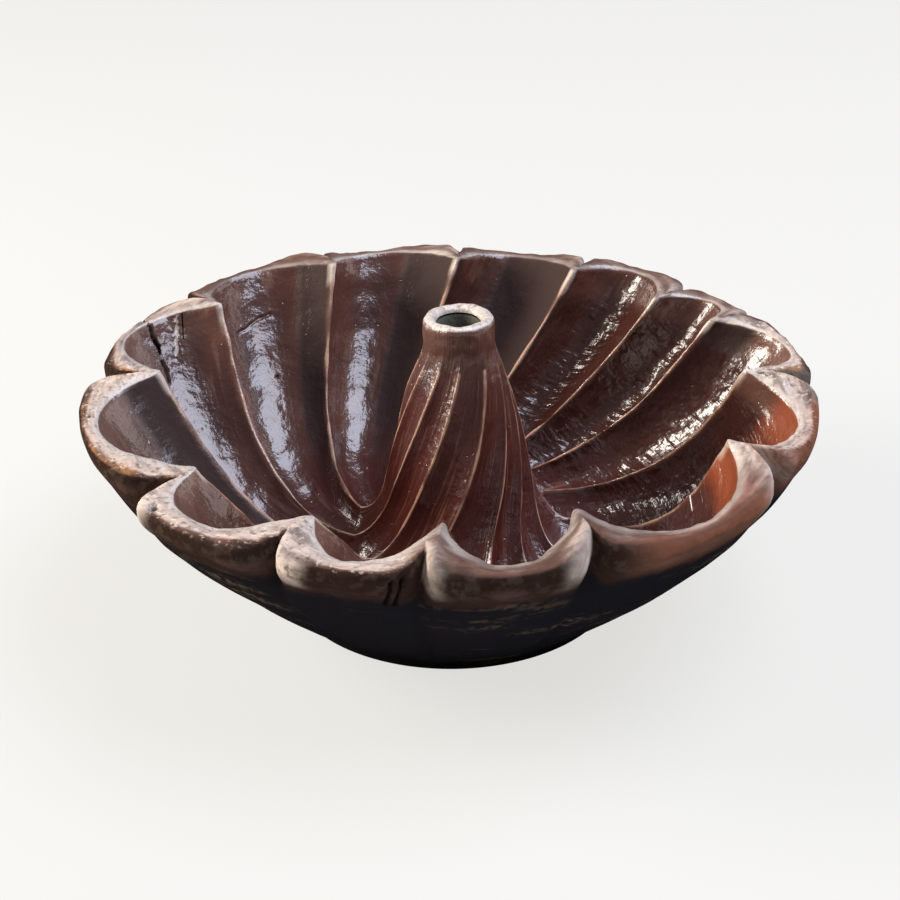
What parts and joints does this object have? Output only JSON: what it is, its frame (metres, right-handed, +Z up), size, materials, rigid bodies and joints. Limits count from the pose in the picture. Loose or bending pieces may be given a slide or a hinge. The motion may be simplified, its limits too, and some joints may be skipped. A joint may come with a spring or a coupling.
{
  "type": "kugelhopf mould",
  "caption": "Wide earthenware cake mould: a bowl of swirling flutes with a pinched, scalloped rim and a hollow ridged chimney in the middle, standing on a flat foot ring.",
  "frame": {"origin": "on the ground plane of the foot ring, under the middle of the mould's box", "axes": "+Z up along the chimney, -Y towards the viewer of the picture, +X to the viewer's right"},
  "size_m": [0.2634, 0.2648, 0.1105],
  "materials": {
    "glazed_earthenware": "treacle-brown glaze on red earthenware, worn to bare clay on the lip",
    "sooted_earthenware": "bare earthenware blackened by the oven"
  },
  "bodies": {
    "root": {"fluted_bowl": "glazed_earthenware", "chimney": "glazed_earthenware", "luting_coil": "sooted_earthenware", "foot_ring": "sooted_earthenware"}
  },
  "joints": []
}
